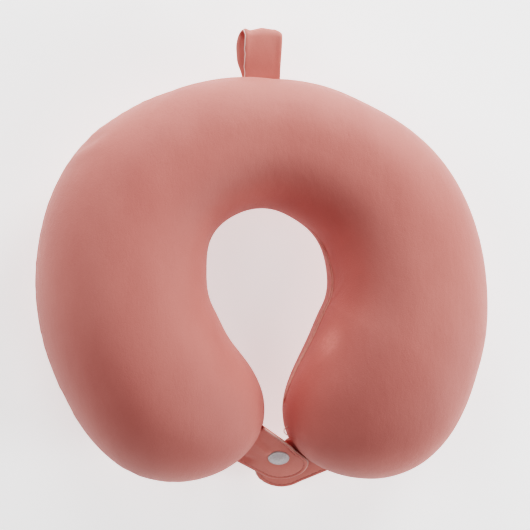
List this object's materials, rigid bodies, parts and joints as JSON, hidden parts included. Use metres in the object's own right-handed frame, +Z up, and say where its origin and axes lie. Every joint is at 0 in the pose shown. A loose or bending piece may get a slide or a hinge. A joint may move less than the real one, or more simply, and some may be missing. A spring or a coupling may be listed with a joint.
{
  "type": "u shaped neck pillow",
  "caption": "U shaped memory foam travel neck pillow with a zipped velour cover, snap tabs between the arm tips and a hanging loop at the back.",
  "frame": {"origin": "centre of the round part of the neck opening, on the plane that the pillow rests on", "axes": "+X towards the right arm as seen from above with the hanging loop at the far side, +Y towards the back of the neck and the hanging loop, +Z up through the thickness"},
  "size_m": [0.2977, 0.3, 0.111],
  "materials": {
    "velour": "short-pile polyester velour, coral pink",
    "knit": "thin polyester knit",
    "foam": "open-cell memory foam",
    "zipper_tape": "woven polyester tape, dyed to match",
    "zipper_coil": "nylon coil, dyed to match",
    "zipper_metal": "nickel plated zinc",
    "snap_plastic": "white moulded acetal, glossy"
  },
  "bodies": {
    "pillow": {"foam_core": "foam", "liner_top_panel": "knit", "liner_bottom_panel": "knit", "cover_top_panel": "velour", "cover_bottom_panel": "velour", "zipper_tape_upper": "zipper_tape", "zipper_tape_lower": "zipper_tape", "zipper_coil_upper": "zipper_coil", "zipper_coil_lower": "zipper_coil", "zipper_top_stops": "zipper_metal", "zipper_bottom_stop": "zipper_metal"},
    "left_tab": {"left_tab_upper_ply": "velour", "left_tab_lower_ply": "velour", "snap_socket_cap": "snap_plastic", "snap_socket": "snap_plastic"},
    "right_tab": {"right_tab_upper_ply": "velour", "right_tab_lower_ply": "velour", "snap_stud_cap": "snap_plastic", "snap_stud": "snap_plastic"},
    "loop": {"hanging_loop": "velour"},
    "slider": {"zipper_slider": "zipper_metal"},
    "pull": {"zipper_pull": "zipper_metal"}
  },
  "joints": [
    {"name": "left_tab_lift", "type": "hinge", "parent": "pillow", "child": "left_tab", "pos_m": [-0.00873, -0.11387, 0.049], "axis": [-0.4365, -0.5587, -0.7053], "range_deg": [0, 105]},
    {"name": "right_tab_drop", "type": "hinge", "parent": "pillow", "child": "right_tab", "pos_m": [0.02277, -0.11979, 0.03646], "axis": [0.7452, -0.5224, -0.4144], "range_deg": [0, 60]},
    {"name": "loop_swing", "type": "hinge", "parent": "pillow", "child": "loop", "pos_m": [-0.0045, 0.1291, 0.05], "axis": [1, 0, 0], "range_deg": [-65, 65]},
    {"name": "slider_travel", "type": "hinge", "parent": "pillow", "child": "slider", "pos_m": [0.0015, -0.0165, 0.05], "axis": [0, 0, -1], "range_deg": [0, 56]},
    {"name": "pull_swing", "type": "hinge", "parent": "slider", "child": "pull", "pos_m": [0.09923, 0.0883, 0.05], "axis": [0, 0, 1], "range_deg": [0, 150]}
  ]
}
